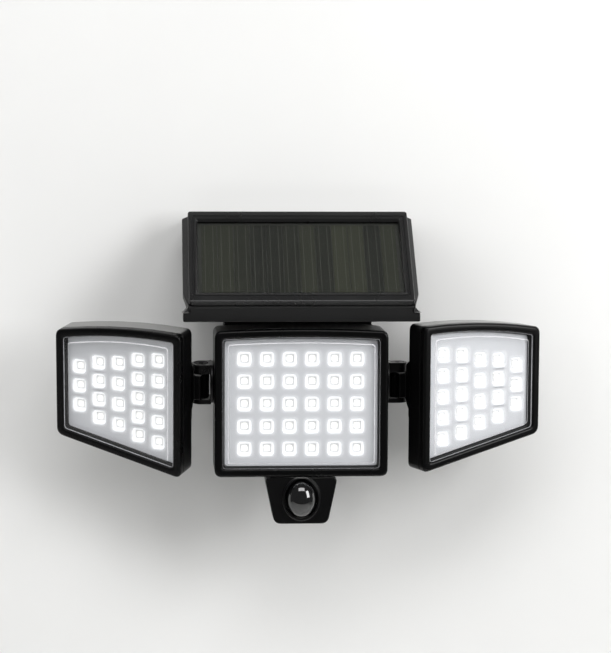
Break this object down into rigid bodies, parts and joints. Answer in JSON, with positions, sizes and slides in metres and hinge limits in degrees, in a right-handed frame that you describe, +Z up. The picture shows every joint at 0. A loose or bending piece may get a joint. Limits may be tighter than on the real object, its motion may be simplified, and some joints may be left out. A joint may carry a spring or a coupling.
{
  "type": "solar flood light",
  "caption": "Wall-mounted solar flood light: wedge housing with a sloping solar panel, fixed centre lamp, motion sensor pod and two side lamps on tilting, swinging arms.",
  "frame": {"origin": "middle of the back cover's flat wall face", "axes": "+Z up, +Y into the wall, +X to the viewer's right, so the lamps face -Y"},
  "size_m": [0.326, 0.0861, 0.2058],
  "materials": {
    "housing_black": "satin moulded ABS, fine texture",
    "bezel_black": "smooth semi-gloss moulded ABS",
    "sensor_gloss": "polished dark infrared-passing plastic",
    "black_rubber": "soft matte rubber",
    "clear_lens": "clear polycarbonate",
    "reflector_silver": "pale silver-grey sprayed reflector",
    "led_board_white": "white solder mask on an aluminium board with lit LEDs",
    "circuit_board": "green solder mask",
    "solar_cells": "dark cells under a smooth clear laminate",
    "battery_wrap": "shrink sleeve",
    "steel": "zinc-plated"
  },
  "bodies": {
    "root": {"main_housing": "housing_black", "back_cover": "housing_black", "housing_gasket": "black_rubber", "cover_screw_1": "steel", "cover_screw_2": "steel", "cover_screw_3": "steel", "cover_screw_4": "steel", "panel_bezel": "bezel_black", "solar_panel": "solar_cells", "panel_gasket": "black_rubber", "battery_holder": "housing_black", "battery_cell_front": "battery_wrap", "battery_cell_rear": "battery_wrap", "control_board": "circuit_board", "sensor_housing": "housing_black", "sensor_back_cover": "housing_black", "sensor_dome": "sensor_gloss", "pir_detector": "steel", "sensor_board": "circuit_board", "centre_bezel": "bezel_black", "centre_lens": "clear_lens", "centre_lens_gasket": "black_rubber", "centre_reflector": "reflector_silver", "centre_led_board": "led_board_white"},
    "left_arm": {"left_arm_yoke": "housing_black", "left_arm_seal": "black_rubber", "left_arm_nut": "housing_black", "left_hinge_bolt": "steel", "left_hinge_nut": "steel"},
    "left_head": {"left_head_shell": "housing_black", "left_head_bezel": "bezel_black", "left_head_lens": "clear_lens", "left_head_lens_gasket": "black_rubber", "left_head_reflector": "reflector_silver", "left_head_led_board": "led_board_white", "left_head_screw_1": "steel", "left_head_screw_2": "steel", "left_head_screw_3": "steel"},
    "right_arm": {"right_arm_yoke": "housing_black", "right_arm_seal": "black_rubber", "right_arm_nut": "housing_black", "right_hinge_bolt": "steel", "right_hinge_nut": "steel"},
    "right_head": {"right_head_shell": "housing_black", "right_head_bezel": "bezel_black", "right_head_lens": "clear_lens", "right_head_lens_gasket": "black_rubber", "right_head_reflector": "reflector_silver", "right_head_led_board": "led_board_white", "right_head_screw_1": "steel", "right_head_screw_2": "steel", "right_head_screw_3": "steel"},
    "button": {"mode_button": "black_rubber"}
  },
  "joints": [
    {"name": "left_arm_tilt", "type": "hinge", "parent": "root", "child": "left_arm", "pos_m": [-0.066, -0.047, -0.0253], "axis": [1, 0, 0], "range_deg": [-8.9, 51.1]},
    {"name": "left_head_swing", "type": "hinge", "parent": "left_arm", "child": "left_head", "pos_m": [-0.066, -0.047, -0.0253], "axis": [0, 0.1547, -0.988], "range_deg": [-33.6, 18.4]},
    {"name": "right_arm_tilt", "type": "hinge", "parent": "root", "child": "right_arm", "pos_m": [0.066, -0.047, -0.0253], "axis": [1, 0, 0], "range_deg": [-0.8, 59.2]},
    {"name": "right_head_swing", "type": "hinge", "parent": "right_arm", "child": "right_head", "pos_m": [0.066, -0.047, -0.0253], "axis": [0, -0.014, 0.9999], "range_deg": [-33.6, 18.4]},
    {"name": "mode_button_press", "type": "slide", "parent": "root", "child": "button", "axis": [0, 0, 1], "range_m": [0, 0.0012], "stiffness_N_per_m": 400, "springref_m": -0.0008}
  ]
}
